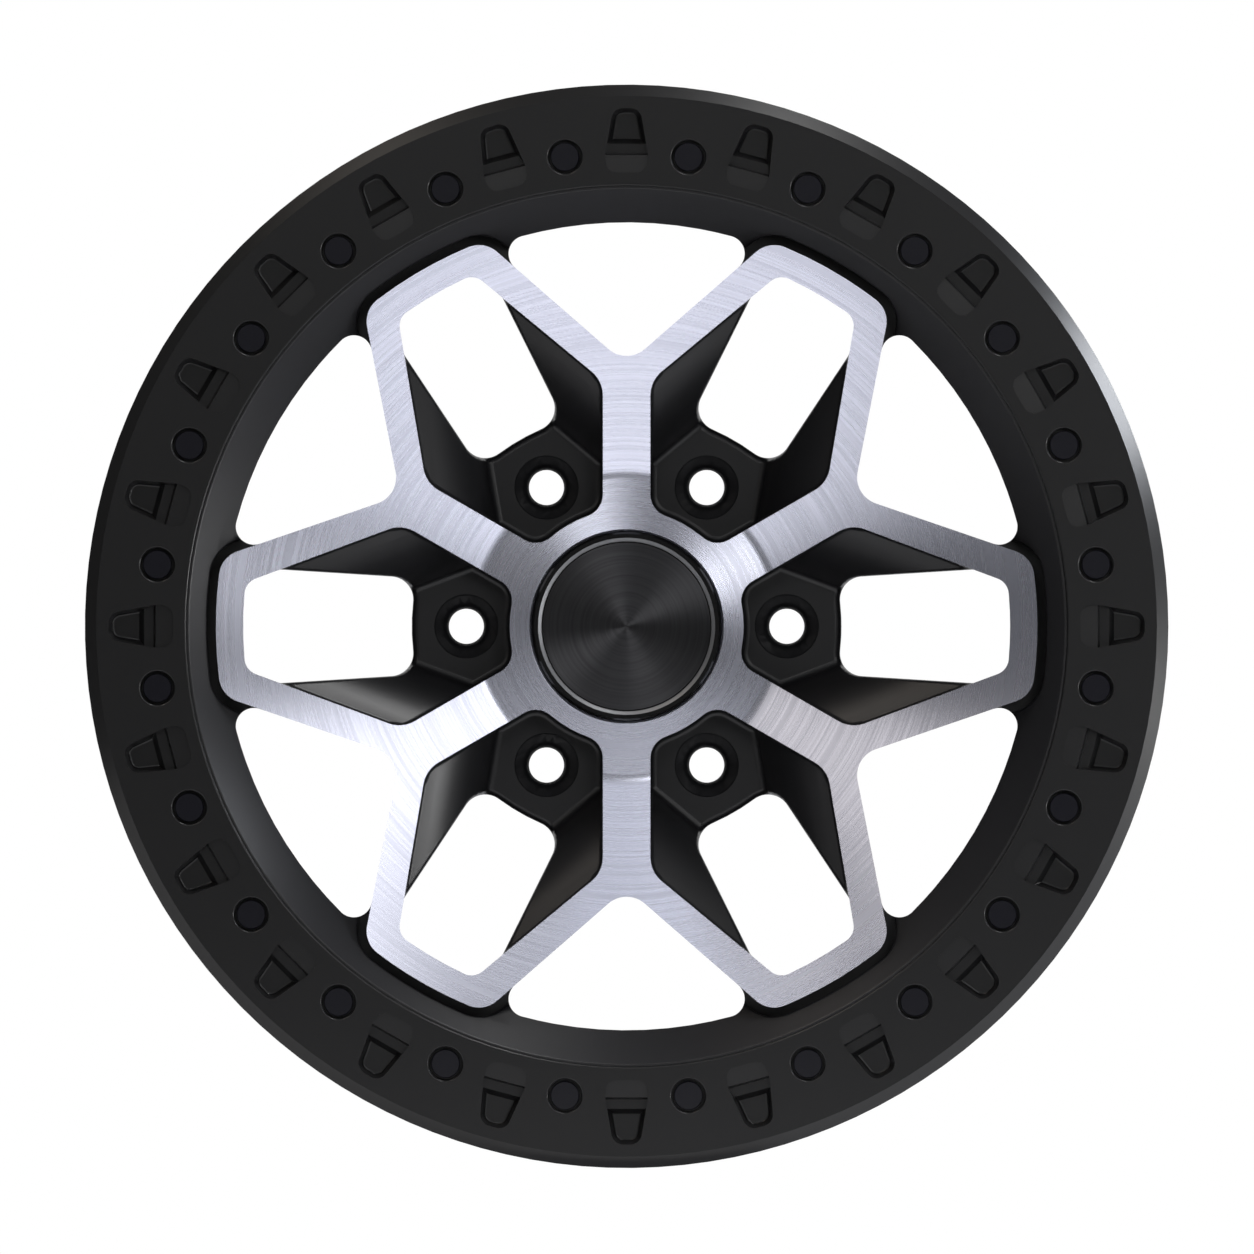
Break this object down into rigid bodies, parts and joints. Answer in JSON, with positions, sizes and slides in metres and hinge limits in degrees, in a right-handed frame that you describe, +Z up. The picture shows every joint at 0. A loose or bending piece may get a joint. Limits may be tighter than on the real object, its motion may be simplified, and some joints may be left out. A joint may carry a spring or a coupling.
{
  "type": "truck wheel",
  "caption": "Alloy truck wheel with forked ribs that join into loops, a turned face, a lugged hub with a pop-in centre cap, and a bolted clamp ring with scoops on the outboard flange.",
  "frame": {"origin": "wheel's centre: on the spin axis, midway between the ring's outboard face and the inboard flange", "axes": "+Y along the spin axis, from the outboard face to the vehicle; +Z up with two forks upright; +X along a lug, to the right seen from outboard"},
  "size_m": [0.4723, 0.252, 0.4724],
  "materials": {
    "casting": "satin black coat, turned bright on the front of the ribs, loops and hub",
    "ring": "satin black",
    "screws": "black oxide",
    "screw_caps": "satin black",
    "cap_shell": "gloss black",
    "cap_disc": "spun, black"
  },
  "bodies": {
    "root": {"wheel_casting": "casting", "clamp_ring": "ring", "ring_screws": "screws", "screw_caps": "screw_caps", "cap_shell": "cap_shell", "cap_disc": "cap_disc"}
  },
  "joints": []
}
